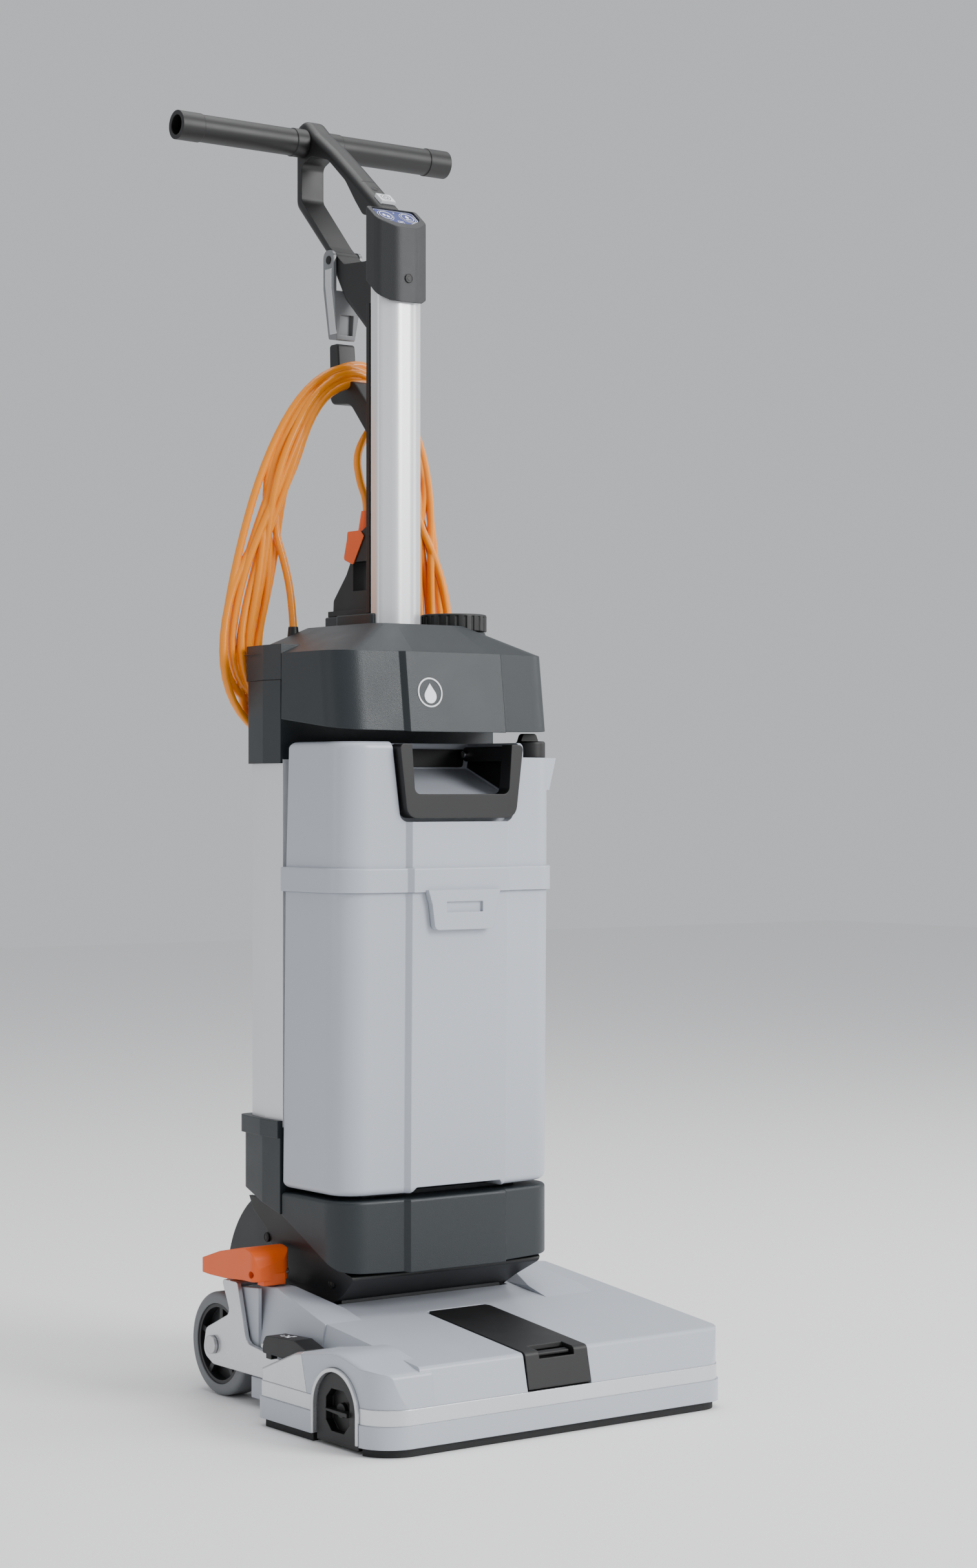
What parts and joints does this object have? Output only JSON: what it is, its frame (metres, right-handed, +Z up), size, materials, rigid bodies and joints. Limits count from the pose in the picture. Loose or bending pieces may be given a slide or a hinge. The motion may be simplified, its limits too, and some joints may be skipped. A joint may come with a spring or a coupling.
{
  "type": "upright floor scrubber-dryer",
  "caption": "Upright floor scrubber-dryer with a wheeled brush deck, two stacked tanks, a tilting column with T-bar handle and a cord hung in loops.",
  "frame": {"origin": "on the floor under the centre of the machine's bounding box", "axes": "+X to the machine's right seen from behind the deck's front edge at -Y, +Y rearward, +Z up"},
  "size_m": [0.361, 0.383, 1.1385],
  "materials": {
    "light_grey": "satin",
    "silver_paint": "satin",
    "anthracite": "fine texture",
    "black_plastic": "satin",
    "dark_grey": "fine texture",
    "smoke_grey": "semi-gloss",
    "aluminium": "satin anodised",
    "orange_plastic": "satin",
    "cord_orange": "gloss",
    "rubber": "matt",
    "tyre_grey": "matt",
    "hub_black": "satin",
    "steel": "bright",
    "black_steel": "blackened",
    "motor_metal": "matt",
    "bristle": "nylon",
    "panel_blue": "printed film",
    "button_white": "satin"
  },
  "bodies": {
    "deck": {"chassis_pan": "light_grey", "deck_cover": "light_grey", "trim_band": "silver_paint", "pod_cover": "silver_paint", "arch_ring": "silver_paint", "front_squeegee": "rubber", "rear_squeegee": "rubber", "suction_channel": "hub_black", "pivot_drum": "dark_grey", "pivot_pins": "steel", "brush_motor": "motor_metal", "suction_motor": "motor_metal", "drive_belt": "rubber"},
    "brush_carrier": {"brush_cap": "black_plastic"},
    "brush_roller": {"brush_core": "steel", "brush_bristles": "bristle"},
    "brush_drive": {"brush_pulley": "hub_black"},
    "motor_drive": {"motor_pulley": "hub_black"},
    "release_lever": {"release_lever": "black_plastic"},
    "duct_cover": {"duct_cover": "black_plastic"},
    "duct_latch": {"duct_latch": "black_plastic"},
    "wheel_carriage": {"wheel_lever_left": "silver_paint", "wheel_lever_right": "silver_paint", "wheel_shafts": "steel"},
    "wheel_left": {"wheel_hub_left": "hub_black", "tyre_left": "tyre_grey"},
    "wheel_right": {"wheel_hub_right": "hub_black", "tyre_right": "tyre_grey"},
    "foot_pedal": {"foot_pedal": "orange_plastic"},
    "upright": {"lower_housing": "anthracite", "lower_shell": "black_plastic", "lower_bracket": "anthracite", "back_profile": "aluminium", "upper_bracket": "anthracite", "lid": "anthracite", "column": "aluminium", "column_strip": "black_plastic", "head_cap": "dark_grey", "keypad_panel": "panel_blue", "handle_loop": "black_plastic", "t_bar": "black_plastic", "cord_hook": "black_plastic", "plug_hook": "black_plastic", "screws_and_pin": "black_steel", "water_pump": "hub_black", "suction_hose": "hub_black", "strain_relief": "black_plastic", "power_plug": "orange_plastic", "cord_leads": "cord_orange", "cord_hank": "cord_orange"},
    "gate_lever": {"gate_lever": "smoke_grey"},
    "power_button": {"power_button": "button_white"},
    "key_water": {"key_water": "panel_blue"},
    "key_suction": {"key_suction": "panel_blue"},
    "lid_cap": {"lid_cap": "black_plastic"},
    "tank_unit": {"recovery_tank": "light_grey", "solution_tank": "light_grey", "bail_pins": "steel"},
    "tank_cap": {"tank_cap": "black_plastic"},
    "bail_handle": {"bail_handle": "black_plastic"}
  },
  "joints": [
    {"name": "upright_tilt", "type": "hinge", "parent": "deck", "child": "upright", "pos_m": [0, 0.0985, 0.084], "axis": [-1, 0, 0], "range_deg": [0, 75]},
    {"name": "brush_pull", "type": "slide", "parent": "deck", "child": "brush_carrier", "axis": [-1, 0, 0], "range_m": [0, 0.33]},
    {"name": "brush_spin", "type": "hinge", "parent": "brush_carrier", "child": "brush_roller", "pos_m": [0, -0.128, 0.03], "axis": [1, 0, 0], "continuous": true},
    {"name": "brush_pulley_spin", "type": "hinge", "parent": "deck", "child": "brush_drive", "pos_m": [0.16, -0.128, 0.03], "axis": [1, 0, 0], "continuous": true},
    {"name": "motor_spin", "type": "hinge", "parent": "deck", "child": "motor_drive", "pos_m": [0.16, -0.048, 0.053], "axis": [1, 0, 0], "continuous": true},
    {"name": "release_lift", "type": "hinge", "parent": "deck", "child": "release_lever", "pos_m": [-0.153, 0.012, 0.06], "axis": [-1, 0, 0], "range_deg": [0, 35]},
    {"name": "duct_cover_lift", "type": "hinge", "parent": "deck", "child": "duct_cover", "pos_m": [0, -0.046, 0.0815], "axis": [-1, 0, 0], "range_deg": [0, 60]},
    {"name": "duct_latch_slide", "type": "slide", "parent": "duct_cover", "child": "duct_latch", "axis": [0, 1, 0], "range_m": [0, 0.004], "stiffness_N_per_m": 60, "springref_m": -0.004},
    {"name": "wheel_drop", "type": "hinge", "parent": "deck", "child": "wheel_carriage", "pos_m": [0, -0.008, 0.036], "axis": [-1, 0, 0], "range_deg": [0, 4.8], "stiffness_Nm_per_rad": 60, "springref_deg": -3.44},
    {"name": "wheel_left_spin", "type": "hinge", "parent": "wheel_carriage", "child": "wheel_left", "pos_m": [-0.129, 0.112, 0.045], "axis": [1, 0, 0], "continuous": true},
    {"name": "wheel_right_spin", "type": "hinge", "parent": "wheel_carriage", "child": "wheel_right", "pos_m": [0.129, 0.112, 0.045], "axis": [1, 0, 0], "continuous": true},
    {"name": "pedal_press", "type": "hinge", "parent": "deck", "child": "foot_pedal", "pos_m": [-0.13, 0.046, 0.114], "axis": [-1, 0, 0], "range_deg": [0, 12]},
    {"name": "gate_swing", "type": "hinge", "parent": "upright", "child": "gate_lever", "pos_m": [0, 0.129, 1.004], "axis": [1, 0, 0], "range_deg": [0, 75]},
    {"name": "power_press", "type": "slide", "parent": "upright", "child": "power_button", "axis": [0, 0.6225, -0.7826], "range_m": [0, 0.002], "stiffness_N_per_m": 400},
    {"name": "key_water_press", "type": "slide", "parent": "upright", "child": "key_water", "axis": [0, 0.6225, -0.7826], "range_m": [0, 0.0006], "stiffness_N_per_m": 800},
    {"name": "key_suction_press", "type": "slide", "parent": "upright", "child": "key_suction", "axis": [0, 0.6225, -0.7826], "range_m": [0, 0.0006], "stiffness_N_per_m": 800},
    {"name": "lid_cap_turn", "type": "hinge", "parent": "upright", "child": "lid_cap", "pos_m": [0.06, 0.042, 0.668], "axis": [0, 0, 1], "range_deg": [0, 90]},
    {"name": "tank_pull", "type": "slide", "parent": "upright", "child": "tank_unit", "axis": [0, -1, 0], "range_m": [0, 0.25]},
    {"name": "tank_cap_turn", "type": "hinge", "parent": "tank_unit", "child": "tank_cap", "pos_m": [0.099, -0.02, 0.568], "axis": [0, 0, 1], "range_deg": [0, 90]},
    {"name": "bail_swing", "type": "hinge", "parent": "tank_unit", "child": "bail_handle", "pos_m": [0, 0.014, 0.5585], "axis": [-1, 0, 0], "range_deg": [0, 7]}
  ],
  "couplings": [
    {"joint": "brush_pulley_spin", "follows": "brush_spin", "ratio": 1},
    {"joint": "motor_spin", "follows": "brush_spin", "ratio": 2},
    {"joint": "pedal_press", "follows": "wheel_drop", "ratio": 2.5}
  ]
}
